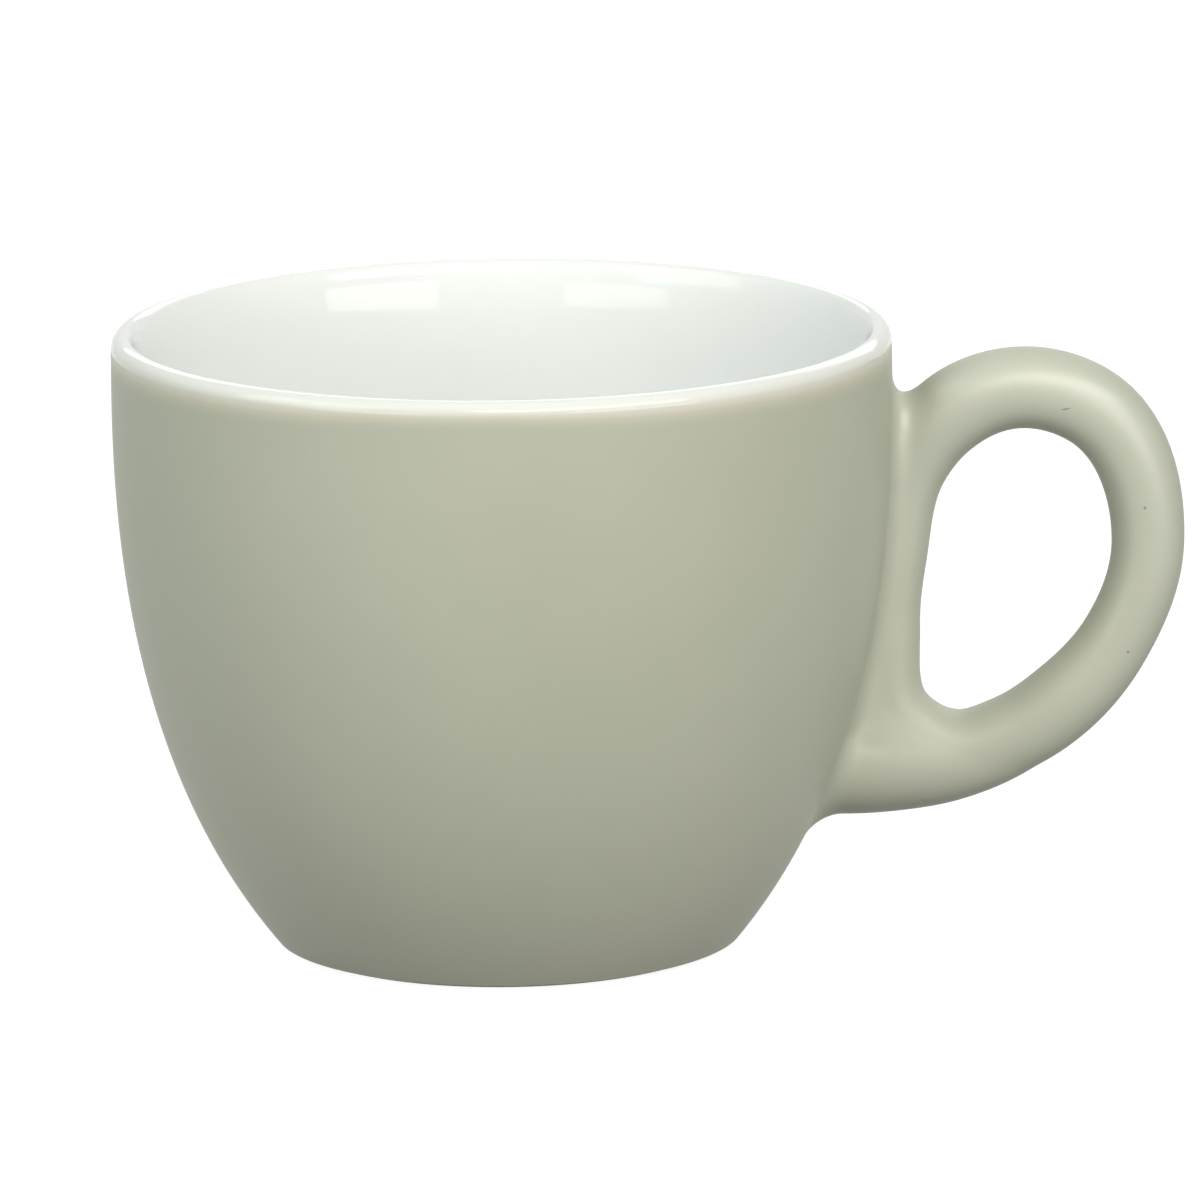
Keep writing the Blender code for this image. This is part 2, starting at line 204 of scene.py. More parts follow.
def handleLines():
    rootHeight = handle["clearance"] + handle["root"] / 2
    crownHeight = bowl["height"] - handle["topDrop"] - handle["crown"] / 2
    span = handle["reach"] - handle["grip"] / 2

    def loop(across, up, thick):
        return (bowl["rim"] + across * span, rootHeight + up * (crownHeight - rootHeight), thick)

    def onBowl(up, proud, thick):
        height = rootHeight + up * (crownHeight - rootHeight)
        return (wallRadius(height) + proud - thick / 2, height, thick)

    ring = [
        loop(0.454, 0.998, handle["crown"]), loop(0.761, 0.955, handle["crown"]),
        loop(1.002, 0.589, handle["grip"]), loop(0.882, 0.332, handle["grip"]),
        loop(0.668, 0.162, handle["sweep"]), loop(0.460, 0.071, handle["sweep"]),
        loop(0.235, 0.030, handle["shoulder"]), loop(0.027, 0.112, handle["heel"]),
        loop(-0.035, 0.373, handle["strip"]), loop(-0.007, 0.556, handle["strip"]),
        loop(0.079, 0.807, handle["heel"]), loop(0.200, 0.919, handle["shoulder"]),
    ]
    arm = [
        loop(0.680, 0.151, handle["fuse"]), loop(0.479, 0.063, handle["strip"]),
        loop(0.225, 0.011, handle["arm"]), loop(-0.028, 0.004, handle["root"]),
        loop(-0.435, 0.003, handle["root"]),
    ]
    web = [onBowl(0.0, 2.0 * mm, handle["arm"]), onBowl(0.12, 3.4 * mm, handle["sweep"]),
           onBowl(0.25, 2.8 * mm, handle["strip"]), onBowl(0.42, 2.0 * mm, handle["fuse"])]
    return smoothLine(ring, True), smoothLine(arm, False), smoothLine(web, False)


def addBar(work, line, cyclic):
    # round bar: a circle at every place on the line, bridged one to the next
    loops = []
    count = len(line)
    for i, spot in enumerate(line):
        ahead = line[(i + 1) % count] if cyclic or i + 1 < count else spot
        behind = line[i - 1] if cyclic or i else spot
        run = Vector((ahead.x - behind.x, 0, ahead.y - behind.y)).normalized()
        side = Vector((0, 1, 0))
        matrix = Matrix((side, run.cross(side), run)).transposed().to_4x4()
        matrix.translation = (axisX + spot.x, 0, spot.y)
        made = bmesh.ops.create_circle(work, cap_ends=False, radius=spot.z / 2, segments=handle["sides"],
                                       matrix=matrix)
        loops.append(list(dict.fromkeys(e for v in made["verts"] for e in v.link_edges)))
    if cyclic:
        loops.append(loops[0])
    for a, b in zip(loops, loops[1:]):
        bmesh.ops.bridge_loops(work, edges=a + b)
    if not cyclic:
        for loop in (loops[0], loops[-1]):
            bmesh.ops.contextual_create(work, geom=loop)
    bmesh.ops.recalc_face_normals(work, faces=work.faces)


def makeBars(shrink):
    bars = []
    for i, line in enumerate(lines):
        work = bmesh.new()
        addBar(work, [Vector((p.x, p.y, p.z - 2 * shrink)) for p in line], i == 0)
        bars.append(makeObject("bar%d" % i, work))
    return bars


def combine(target, steps):
    # solids joined, cut or crossed one after the other, baked to one bmesh
    for operation, tool in steps:
        change = target.modifiers.new(operation.title(), "BOOLEAN")
        change.operation = operation
        change.object = tool
    bpy.context.view_layer.update()
    baked = bpy.data.meshes.new_from_object(target.evaluated_get(bpy.context.evaluated_depsgraph_get()))
    work = bmesh.new()
    work.from_mesh(baked)
    for obj in [target] + [tool for _, tool in steps]:
        bpy.data.objects.remove(obj)
    bpy.data.meshes.remove(baked)
    return work


def segmentsOf(line, cyclic):
    spots = np.array([(p.x, p.y, p.z / 2) for p in line])
    after = np.roll(spots, -1, axis=0)
    return (spots, after) if cyclic else (spots[:-1], after[:-1])


lines = handleLines()
barSegments = [segmentsOf(line, i == 0) for i, line in enumerate(lines)]
wallSpots = np.array([(p.x, p.y) for p in wallCurve(bowl["fieldSteps"])])


def wallDistance(points):
    # distance of points from the bowl's outside, less than 0 inside it
    flat = np.stack([np.hypot(points[:, 0] - axisX, points[:, 1]), points[:, 2]], axis=1)
    start, run = wallSpots[:-1], np.diff(wallSpots, axis=0)
    offset = flat[:, None, :] - start[None]
    share = np.clip((offset * run).sum(2) / (run * run).sum(1), 0, 1)
    gap = offset - share[..., None] * run
    length = np.hypot(gap[..., 0], gap[..., 1])
    best = length.argmin(1)
    rows = np.arange(len(points))
    side = np.sign(run[best, 0] * offset[rows, best, 1] - run[best, 1] * offset[rows, best, 0])
    return length[rows, best] * np.where(side == 0, 1, side)


def barDistance(points, segments):
    # distance from a bar's skin, and the way that leads off it
    start, end = segments
    run = (end - start)[:, :2]
    offset = np.stack([points[:, 0] - axisX, points[:, 2]], axis=1)[:, None, :] - start[None, :, :2]
    share = np.clip((offset * run).sum(2) / (run * run).sum(1), 0, 1)
    gap = offset - share[..., None] * run
    length = np.sqrt((gap ** 2).sum(2) + points[:, 1][:, None] ** 2)
    skin = length - start[:, 2] - share * (end - start)[:, 2]
    best = skin.argmin(1)
    rows = np.arange(len(points))
    away = np.stack([gap[rows, best, 0], points[:, 1], gap[rows, best, 1]], axis=1)
    return skin[rows, best], away / length[rows, best][:, None]


def roundUnion(a, b, radius):
    # joined distance with a hollow round of that radius in the corner
    lean = np.hypot(np.maximum(radius - a, 0), np.maximum(radius - b, 0))
    return np.maximum(radius, np.minimum(a, b)) - lean


def crossingBars(points):
    # how far off the second nearest bar is
    return np.sort([barDistance(points, segments)[0] for segments in barSegments], axis=0)[1]


def handleDistance(points):
    # bars that run side by side keep their size, those that cross get a round
    limit = coat["softLimit"]
    joined, away = barDistance(points, barSegments[0])
    for segments in barSegments[1:]:
        skin, off = barDistance(points, segments)
        crossing = np.clip(1 - (away * off).sum(1), 0, 1)
        nearer = 1 / (1 + np.exp(np.clip((skin - joined) / coat["softTurn"], -limit, limit)))[:, None]
        joined = roundUnion(joined, skin, coat["barBlend"] * crossing)
        away = away + nearer * (off - away)
        away = away / np.maximum(np.linalg.norm(away, axis=1), coat["tiny"])[:, None]
    return joined


def coatDistance(points):
    radius = np.interp(points[:, 2], *zip(*coat["rounds"]))
    return roundUnion(wallDistance(points), handleDistance(points), radius)


def coordsOf(verts):
    return np.array([v.co for v in verts])


def pullToSkin(verts, rounds):
    # Newton steps on to the joined surface
    points = coordsOf(verts)
    step = coat["newtonStep"]
    for _ in range(rounds):
        value = coatDistance(points)
        ahead = [coatDistance(points + step * axis) for axis in np.eye(3)]
        slope = np.stack([(there - value) / step for there in ahead], axis=1)
        points = points - (value / np.maximum((slope ** 2).sum(1), coat["leastSlope"]))[:, None] * slope
    for v, spot in zip(verts, points):
        v.co = spot


def evenOut(work, verts):
    bmesh.ops.smooth_vert(work, verts=verts, factor=coat["evenShare"], use_axis_x=True, use_axis_y=True,
                          use_axis_z=True)


def halveLong(work, verts, longest):
    edges = [e for e in work.edges
             if e.verts[0] in verts and e.verts[1] in verts and e.calc_length() > longest]
    bmesh.ops.subdivide_edges(work, edges=edges, cuts=1, use_grid_fill=True)


def splitManySided(work):
    bmesh.ops.triangulate(work, faces=[f for f in work.faces if len(f.verts) > 4])


def vertsNear(work, spots, reach):
    return [v for v in work.verts if ((spots - np.array(v.co)) ** 2).sum(1).min() < reach ** 2]


def refineJoint(work):
    # finer faces round the joint, then drawn on to the hollow rounds and evened out
    for _ in range(coat["refineRounds"]):
        verts = list(work.verts)
        points = coordsOf(verts)
        near = (np.abs(wallDistance(points)) < coat["zone"]) & (handleDistance(points) < coat["zone"])
        halveLong(work, {v for v, hit in zip(verts, near) if hit}, coat["longEdge"])
    splitManySided(work)
    verts = [v for v in work.verts if not v.is_boundary]
    points = coordsOf(verts)
    reach = handleDistance(points)
    wall = np.abs(wallDistance(points))
    cross = crossingBars(points)
    inner = coat["zone"] * coat["jointShare"]
    joint = [v for v, near, out, bar in zip(verts, reach, wall, cross)
             if near < inner and min(out, 2 * bar) < inner]
    deep = [v for v, depth in zip(joint, coatDistance(coordsOf(joint))) if depth < -coat["deep"]]
    for _ in range(coat["deepRounds"]):
        evenOut(work, deep)
    for _ in range(coat["relaxRounds"]):
        pullToSkin(joint, 1)
        evenOut(work, joint)
    pullToSkin([v for v, near in zip(verts, reach) if near < coat["zone"]], coat["newtonRounds"])


def easeSharp(work):
    # finer faces where the skin still folds, as in the notch over the handle, drawn on to the round again
    for _ in range(coat["sharpRounds"]):
        work.normal_update()
        folds = [e for e in work.edges if e.is_manifold and e.calc_face_angle(0) > coat["sharpAngle"]]
        if not folds:
            return
        spots = coordsOf(dict.fromkeys(v for e in folds for v in e.verts))
        halveLong(work, set(vertsNear(work, spots, coat["sharpReach"])), coat["sharpEdge"])
        splitManySided(work)
        patch = vertsNear(work, spots, coat["sharpReach"])
        for _ in range(coat["relaxRounds"]):
            evenOut(work, patch)
            pullToSkin(patch, 1)
        pullToSkin(patch, coat["newtonRounds"])


def makeSageCoat():
    work = bmesh.new()
    wall = wallCurve(coat["wallSteps"])
    turnPath(work, [Vector((0, lipLine))] + wall + [Vector((0, bowl["footHeight"]))])
    solid = makeObject("bowlSolid", work)
    work = combine(solid, [("UNION", bar) for bar in makeBars(0)])
    bmesh.ops.remove_doubles(work, verts=work.verts, dist=coat["weld"])
    ends = (lipLine, bowl["footHeight"])
    flats = [f for f in work.faces if abs(f.normal.z) > coat["flatness"]
             and min(abs(f.calc_center_median().z - end) for end in ends) < coat["sliver"]]
    bmesh.ops.delete(work, geom=flats, context="FACES")     # the coat is open at lip line and foot
    refineJoint(work)
    easeSharp(work)
    bmesh.ops.dissolve_degenerate(work, edges=work.edges, dist=coat["sliver"])
    bmesh.ops.recalc_face_normals(work, faces=work.faces)
    bmesh.ops.solidify(work, geom=list(work.faces), thickness=bowl["glaze"])
    obj = makePiece("sageCoat", work)
    standOff = obj.data.attributes.new("standOff", "FLOAT", "POINT")     # the skin's distance from the bowl
    standOff.data.foreach_set("value", wallDistance(coordsOf(obj.data.vertices)))
    return obj


sageCoat = makeSageCoat()
place(sageCoat, "sage_glaze", "outer_glaze")

# white liner: inside of the bowl, over the lip to the line where the sage starts
liner = dict(
    wallAtLip=2.3 * mm, wallAtHeel=5.4 * mm,
    floorHeight=6.2 * mm, floorFlat=9.0 * mm, floorBlend=9.0 * mm,
    softLip=7.0 * mm, softPull=4.2 * mm, topPull=0.95 * mm,    # inside of the lip, drawn out softly
    wallSteps=72, floorSteps=20, flatSteps=6, lipSteps=18,
)


def insidePath():
    # from the middle of the floor up the wall to the top of the lip
    wall = wallCurve(liner["wallSteps"])
    inside = []
    for i in range(1, len(wall) - 1):
        run = (wall[i + 1] - wall[i - 1]).normalized()
        share = i / (len(wall) - 1)
        depth = liner["wallAtLip"] + share * (liner["wallAtHeel"] - liner["wallAtLip"])
        spot = wall[i] - depth * Vector((-run.y, run.x))
        if liner["floorHeight"] + liner["floorBlend"] < spot.y < bowl["height"] - liner["softLip"]:
            inside.insert(0, spot)
    run = inside[0] - inside[1]
    heel = inside[0] + run * (liner["floorHeight"] - inside[0].y) / run.y
    floorEdge = Vector((liner["floorFlat"], liner["floorHeight"]))
    floor = corner(floorEdge, heel, inside[0], liner["floorSteps"])[:-1]
    shares = [i / liner["flatSteps"] for i in range(liner["flatSteps"])]
    flat = [Vector((floorEdge.x * share, floorEdge.y)) for share in shares]
    upright = (inside[-1] - inside[-2]).normalized()
    top = Vector((bowl["rim"] - bowl["lip"], bowl["height"]))
    lip = curve(inside[-1], inside[-1] + upright * liner["softPull"],
                top - Vector((liner["topPull"], 0)), top, liner["lipSteps"])[1:]
    return flat + floor + inside + lip


def lipOutside():
    # quarter round from the top of the lip down to the lip line, finer towards its end
    centre = Vector((bowl["rim"] - bowl["lip"], lipLine))
    shares = [1 - (1 - i / liner["lipSteps"]) ** 2 for i in range(1, liner["lipSteps"] + 1)]
    angles = [math.pi / 2 * (1 - share) for share in shares]
    return [centre + bowl["lip"] * Vector((math.cos(a), math.sin(a))) for a in angles]


def makeWhiteLiner():
    path = insidePath() + lipOutside()
    under = inset(path, bowl["glaze"])[::-1]
    under[0].y = lipLine
    work = bmesh.new()
    turnPath(work, path + under)
    return makePiece("whiteLiner", work)


whiteLiner = makeWhiteLiner()
place(whiteLiner, "white_liner", "liner_glaze")

# bare porcelain: the bowl under its glazes, seen only at the foot
clay = dict(
    edge=0.8 * mm, ring=2.2 * mm, ringRound=0.3 * mm,
    recess=1.6 * mm, slope=0.9 * mm, recessRound=1.1 * mm,
    wallSteps=40, cornerSteps=8, ceilingShares=(0.8, 0.55, 0.3, 0),     # of the way out from the axis
)


def recessPath(flatEnd):
    # from the standing ring's inner edge up into the recess and in to the middle
    ceiling = clay["recess"] + bowl["glaze"] + bowl["gap"]
    inner = Vector((flatEnd - clay["ring"], 0))
    inside = Vector((inner.x - clay["slope"], ceiling))
    up = (inside - inner).normalized()
    steps = clay["cornerSteps"]
    edge = corner(inner + Vector((clay["ringRound"], 0)), inner, inner + up * clay["ringRound"], steps)
    hollow = corner(inside - up * clay["recessRound"], inside, inside - Vector((clay["recessRound"], 0)),
                    steps)
    ceilingRun = [Vector((hollow[-1].x * share, ceiling)) for share in clay["ceilingShares"]]
    return edge + hollow + ceilingRun


def clayFoot(wall):
    # bare edge from the glaze's lower end round to the standing ring
    run = wall[-1] - wall[-2]
    low = wall[-1] - run * wall[-1].y / run.y
    return corner(wall[-1], low, Vector((low.x - clay["edge"], 0)), clay["cornerSteps"])[1:]


def clayPaths():
    finished = insidePath() + lipOutside() + wallCurve(clay["wallSteps"])[1:]
    outer = inset(finished, bowl["glaze"] + bowl["gap"])
    outer[0].x = 0
    foot = clayFoot(outer)
    return outer + foot, recessPath(foot[-1].x)


def makeClayBody():
    body, recess = clayPaths()
    work = bmesh.new()
    turnPath(work, body + recess)
    return makePiece("clayBody", work)


clayBody = makeClayBody()
place(clayBody, "bare_porcelain", "cup_body")

# handle and the slip that holds it, both under the sage coat
joint = dict(slip=0.5 * mm, wallSteps=48, weld=0.005 * mm)


def turnedWall(name, outside, inside):
    # the bowl's wall as a solid, from one depth under its finished outside to another, or to the axis
    wall = wallCurve(joint["wallSteps"])
    outer = inset(wall, outside)
    if inside is None:
        path = [Vector((0, outer[0].y))] + outer + [Vector((0, outer[-1].y))]
    else:
        path = outer + inset(wall, inside)[::-1] + outer[:1]
    work = bmesh.new()
    turnPath(work, path)
    return makeObject(name, work)


def makeUnderCoat(name, shrink, operation, tool):
    bars = makeBars(shrink)
    work = combine(bars[0], [("UNION", bar) for bar in bars[1:]] + [(operation, tool)])
    bmesh.ops.remove_doubles(work, verts=work.verts, dist=joint["weld"])
    bmesh.ops.dissolve_degenerate(work, edges=work.edges, dist=joint["weld"])
    bmesh.ops.recalc_face_normals(work, faces=work.faces)
    return makePiece(name, work)


underGlaze = bowl["glaze"] + bowl["gap"]
slipTop = underGlaze - bowl["gap"] - joint["slip"]
porcelainHandle = makeUnderCoat("porcelainHandle", underGlaze, "DIFFERENCE",
                                turnedWall("bowlCut", slipTop - bowl["gap"], None))
place(porcelainHandle, "handle_porcelain", "handle")
slipSeam = makeUnderCoat("slipSeam", underGlaze, "INTERSECT",
                         turnedWall("slipLayer", slipTop, underGlaze - bowl["gap"]))
place(slipSeam, "joint_slip", "handle_slip")

# white glaze in the recess of the underside
base = dict(startHeight=0.45 * mm, thinEdge=0.06 * mm, thinRun=0.9 * mm)


def makeBaseGlaze():
    recess = [p for p in clayPaths()[1] if p.y >= base["startHeight"]]
    laid = inset(recess, -bowl["gap"])
    full = inset(recess, -bowl["gap"] - bowl["glaze"])
    skin = []
    for low, high in zip(laid, full):     # the glaze thins out towards its edge
        share = min((low - laid[0]).length / base["thinRun"], 1)
        least = base["thinEdge"] / bowl["glaze"]
        skin.append(low.lerp(high, least + (1 - least) * math.sin(share * math.pi / 2)))
    work = bmesh.new()
    turnPath(work, laid[::-1] + skin)
    return makePiece("baseGlaze", work)


baseGlaze = makeBaseGlaze()
place(baseGlaze, "white_base", "base_glaze")

# helpers for shader nodes


def addNode(tree, kind, **settings):
    made = tree.nodes.new(kind)
    for key, value in settings.items():
        setattr(made, key, value)
    return made


def feed(tree, target, value):
    # a socket is linked, anything else is set
    if isinstance(value, bpy.types.NodeSocket):
        tree.links.new(value, target)
    else:
        target.default_value = value


def math2(tree, operation, a, b):
    made = addNode(tree, "ShaderNodeMath", operation=operation)
    feed(tree, made.inputs[0], a)
    feed(tree, made.inputs[1], b)
    return made.outputs[0]


def remap(tree, value, fromLow, fromHigh, toLow=0.0, toHigh=1.0, kind="LINEAR"):
    made = addNode(tree, "ShaderNodeMapRange", interpolation_type=kind)
    for name, item in (("Value", value), ("From Min", fromLow), ("From Max", fromHigh),
                       ("To Min", toLow), ("To Max", toHigh)):
        feed(tree, made.inputs[name], item)
    return made.outputs["Result"]


def mixColour(tree, share, a, b):
    made = addNode(tree, "ShaderNodeMix", data_type="RGBA")
    feed(tree, made.inputs["Factor"], share)
    feed(tree, made.inputs["A"], a)
    feed(tree, made.inputs["B"], b)
    return made.outputs["Result"]


def noise(tree, vector, scale, detail, rough=0.5):
    made = addNode(tree, "ShaderNodeTexNoise")
    feed(tree, made.inputs["Vector"], vector)
    feed(tree, made.inputs["Scale"], scale)
    feed(tree, made.inputs["Detail"], detail)
    feed(tree, made.inputs["Roughness"], rough)
    return made.outputs["Fac"]


def newGroup(name, inputs, outputs):
    tree = bpy.data.node_groups.new(name, "ShaderNodeTree")
    for label, kind, value in inputs:
        socket = tree.interface.new_socket(label, in_out="INPUT", socket_type=kind)
        if value is not None:
            socket.default_value = value
    for label, kind in outputs:
        tree.interface.new_socket(label, in_out="OUTPUT", socket_type=kind)
    return tree, tree.nodes.new("NodeGroupInput").outputs, tree.nodes.new("NodeGroupOutput").inputs


def useGroup(tree, group, **values):
    made = addNode(tree, "ShaderNodeGroup", node_tree=group)
    for label, value in values.items():
        feed(tree, made.inputs[label], value)
    return made.outputs


def newMaterial(name, **constants):
    material = bpy.data.materials.new(name)
    material.use_nodes = True
    tree = material.node_tree
    shader = tree.nodes["Principled BSDF"]
    for label, value in constants.items():
        shader.inputs[label.replace("_", " ")].default_value = value
    position = tree.nodes.new("ShaderNodeTexCoord").outputs["Object"]
    return material, tree, shader, position


def addBump(tree, shader, height, strength, distance):
    bump = addNode(tree, "ShaderNodeBump")
    bump.inputs["Strength"].default_value = strength
    bump.inputs["Distance"].default_value = distance
    feed(tree, bump.inputs["Height"], height)
    feed(tree, shader.inputs["Normal"], bump.outputs["Normal"])


# effects that more than one finish shares
# the lip's fade from white to sage, partly a glaze break and partly painted light on the lip's round
fade = dict(
    white=0.0 * mm, sage=2.5 * mm, sageAside=3.7 * mm,     # depth below the lip, deeper at either side
    slow=dict(scale=55.0, detail=1.0, swing=0.7 * mm),     # wavering of the edge
    fine=dict(scale=320.0, detail=2.0, swing=0.175 * mm),
)
melt = dict(
    cloudScale=80.0, cloudDetail=3.0, cloudRough=0.55, cloudRange=(0.2, 0.8),
    peelScale=900.0, peelDetail=1.5, peelRough=0.45,
    grainFiner=3.2, grainDetail=1.0, grainRange=(0.25, 0.75),
)


def swing(tree, position, wave):
    around = math2(tree, "SUBTRACT", noise(tree, position, wave["scale"], wave["detail"]), 0.5)
    return math2(tree, "MULTIPLY", around, wave["swing"])


def makeLipFade():
    # 0 where the white runs over the lip, 1 where the sage is at its full depth; this fade is partly the
    # glaze breaking at the lip and partly painted light on the lip's round
    tree, given, out = newGroup("lipFade", [("Position", "NodeSocketVector", None)],
                                [("Sage", "NodeSocketFloat")])
    parts = addNode(tree, "ShaderNodeSeparateXYZ")
    feed(tree, parts.inputs[0], given["Position"])
    waver = math2(tree, "ADD", *[swing(tree, given["Position"], fade[size]) for size in ("slow", "fine")])
    aside = math2(tree, "ABSOLUTE", math2(tree, "SUBTRACT", parts.outputs["X"], axisX), 0.0)
    end = remap(tree, aside, 0.0, bowl["rim"], fade["sage"], fade["sageAside"])
    depth = math2(tree, "ADD", math2(tree, "SUBTRACT", bowl["height"], parts.outputs["Z"]), waver)
    share = remap(tree, depth, fade["white"], end, kind="SMOOTHSTEP")
    feed(tree, out["Sage"], share)
    return tree


def makeGlazeFlow():
    # slow clouding of a melted glaze and the fine unevenness of its skin
    tree, given, out = newGroup(
        "glazeFlow",
        [("Position", "NodeSocketVector", None), ("Cloud Scale", "NodeSocketFloat", melt["cloudScale"]),
         ("Peel Scale", "NodeSocketFloat", melt["peelScale"])],
        [("Cloud", "NodeSocketFloat"), ("Peel", "NodeSocketFloat"), ("Grain", "NodeSocketFloat")])
    spot = given["Position"]
    cloud = noise(tree, spot, given["Cloud Scale"], melt["cloudDetail"], melt["cloudRough"])
    feed(tree, out["Cloud"], remap(tree, cloud, *melt["cloudRange"], kind="SMOOTHSTEP"))
    feed(tree, out["Peel"], noise(tree, spot, given["Peel Scale"], melt["peelDetail"], melt["peelRough"]))
    finer = math2(tree, "MULTIPLY", given["Peel Scale"], melt["grainFiner"])
    grain = noise(tree, spot, finer, melt["grainDetail"])
    feed(tree, out["Grain"], remap(tree, grain, *melt["grainRange"], kind="SMOOTHSTEP"))
    return tree


lipFade = makeLipFade()
glazeFlow = makeGlazeFlow()
print("shared effects:", lipFade.name, glazeFlow.name)

# finishes
sage = dict(
    deep=(0.474, 0.491, 0.404, 1), pale=(0.492, 0.508, 0.418, 1), grainShare=0.10,
    warmBand=(0.640, 0.620, 0.500, 1), white=(0.800, 0.820, 0.785, 1),     # towards the lip
    warmestAt=0.55, bodyFrom=0.35,                   # shares of the fade: warmest, and where the sage sets in
    rough=(0.48, 0.56), peel=0.012 * mm, peelStrength=0.35,
    handleOff=(0.15 * mm, 1.3 * mm),              # the skin's distance off the bowl, from bowl to handle
    glossLow=12 * mm, glossHigh=40 * mm, glossLeast=0.15,     # the handle's sheen grows upwards
    glossFacing=(0.12, 0.62),                     # a satin skin keeps no sheen along its edges
    speckColour=(0.12, 0.11, 0.08, 1), speckDepth=0.75,
    speckEdge=(0.55, 1.15), speckTilt=-12, speckReach=4,
    specks=(                                      # pinholes: photograph pixel, half length, half width
        dict(pixel=(1066, 409), half=(0.42 * mm, 0.09 * mm)),
        dict(pixel=(1145, 508), half=(0.15 * mm, 0.14 * mm)),
        dict(pixel=(1128, 652), half=(0.13 * mm, 0.12 * mm)),
    ),
)


def onHandle(tree):
    standOff = addNode(tree, "ShaderNodeAttribute", attribute_name="standOff")
    return remap(tree, standOff.outputs["Fac"], *sage["handleOff"], kind="SMOOTHSTEP")


def handleSheen(tree, position, handleMask):
    parts = addNode(tree, "ShaderNodeSeparateXYZ")
    feed(tree, parts.inputs[0], position)
    up = remap(tree, parts.outputs["Z"], sage["glossLow"], sage["glossHigh"], sage["glossLeast"])
    facing = addNode(tree, "ShaderNodeLayerWeight")
    front = remap(tree, facing.outputs["Facing"], *sage["glossFacing"], 1.0, 0.0, kind="SMOOTHSTEP")
    return math2(tree, "MULTIPLY", math2(tree, "MULTIPLY", handleMask, up), front)


def underPixel(pixel):
    # the spot on the sage coat that a pixel of the photograph shows
    matrix = scene.camera.matrix_world
    middle = view["framePixels"] / 2
    ray = matrix.to_3x3() @ Vector((pixel[0] - middle, middle - pixel[1], -view["focalPixels"]))
    return sageCoat.ray_cast(matrix.translation, ray.normalized())[1]


def speckMask(tree, position, speck):
    centred = addNode(tree, "ShaderNodeMapping", vector_type="TEXTURE")
    long, wide = speck["half"]
    centred.inputs["Location"].default_value = underPixel(speck["pixel"])
    centred.inputs["Rotation"].default_value = (0, math.radians(sage["speckTilt"]), 0)
    centred.inputs["Scale"].default_value = (long, wide * sage["speckReach"], wide)
    feed(tree, centred.inputs["Vector"], position)
    reach = addNode(tree, "ShaderNodeVectorMath", operation="LENGTH")
    feed(tree, reach.inputs[0], centred.outputs[0])
    return remap(tree, reach.outputs["Value"], *sage["speckEdge"], sage["speckDepth"], 0.0, kind="SMOOTHSTEP")


def lipColour(tree, full, body):
    # white over the lip, then a warm band, then the full sage; partly the glaze's break at the lip and partly
    # painted light on the lip's round
    warmBand = mixColour(tree, remap(tree, full, 0.0, sage["warmestAt"]), sage["white"], sage["warmBand"])
    return mixColour(tree, remap(tree, full, sage["bodyFrom"], 1.0, kind="SMOOTHSTEP"), warmBand, body)


def makeSageGlaze():
    material, tree, shader, position = newMaterial("sageGlaze", Specular_IOR_Level=0.2, Coat_Roughness=0.42,
                                                   Coat_IOR=1.8)
    flow = useGroup(tree, glazeFlow, Position=position)
    body = mixColour(tree, flow["Cloud"], sage["deep"], sage["pale"])
    body = mixColour(tree, remap(tree, flow["Grain"], 0, 1, 0.0, sage["grainShare"]), body, sage["deep"])
    handleMask = onHandle(tree)
    full = useGroup(tree, lipFade, Position=position)["Sage"]
    body = lipColour(tree, math2(tree, "MAXIMUM", full, handleMask), body)     # the white stays on the bowl
    for speck in sage["specks"]:
        body = mixColour(tree, speckMask(tree, position, speck), body, sage["speckColour"])
    feed(tree, shader.inputs["Base Color"], body)
    feed(tree, shader.inputs["Roughness"], remap(tree, flow["Cloud"], 0, 1, *sage["rough"]))
    feed(tree, shader.inputs["Coat Weight"], handleSheen(tree, position, handleMask))
    addBump(tree, shader, flow["Peel"], sage["peelStrength"], sage["peel"])
    return material


white = dict(
    pale=(0.830, 0.849, 0.838, 1), cool=(0.816, 0.839, 0.830, 1),
    rough=(0.05, 0.09), peel=0.008 * mm, peelStrength=0.3,
    lipShare=0.4,     # of the lip's radius, where its outside takes over from the inside
)


def outsideOfLip(tree, position):
    # 1 on the lip's outer half, 0 inside the bowl
    centred = addNode(tree, "ShaderNodeMapping")
    centred.inputs["Location"].default_value = (-axisX, 0, 0)
    centred.inputs["Scale"].default_value = (1, 1, 0)
    feed(tree, centred.inputs["Vector"], position)
    radius = addNode(tree, "ShaderNodeVectorMath", operation="LENGTH")
    feed(tree, radius.inputs[0], centred.outputs[0])
    middle = bowl["rim"] - bowl["lip"]
    return remap(tree, radius.outputs["Value"], middle, middle + white["lipShare"] * bowl["lip"])


def makeWhiteGlaze(name, overLip):
    material, tree, shader, position = newMaterial(name, Specular_IOR_Level=0.3)
    flow = useGroup(tree, glazeFlow, Position=position)
    body = mixColour(tree, flow["Cloud"], white["cool"], white["pale"])
    if overLip:
        full = useGroup(tree, lipFade, Position=position)["Sage"]
        outside = lipColour(tree, full, sage["pale"])
        body = mixColour(tree, outsideOfLip(tree, position), body, outside)
    feed(tree, shader.inputs["Base Color"], body)
    feed(tree, shader.inputs["Roughness"], remap(tree, flow["Cloud"], 0, 1, *white["rough"]))
    addBump(tree, shader, flow["Peel"], white["peelStrength"], white["peel"])
    return material


bisque = dict(
    light=(0.700, 0.670, 0.610, 1), dark=(0.600, 0.565, 0.500, 1), slip=(0.640, 0.615, 0.560, 1),
    rough=(0.62, 0.78), roughRange=(0.2, 0.8), grain=0.03 * mm, grainStrength=0.5, grainShare=0.3,
    scales={"Cloud Scale": 150.0, "Peel Scale": 1800.0},
)


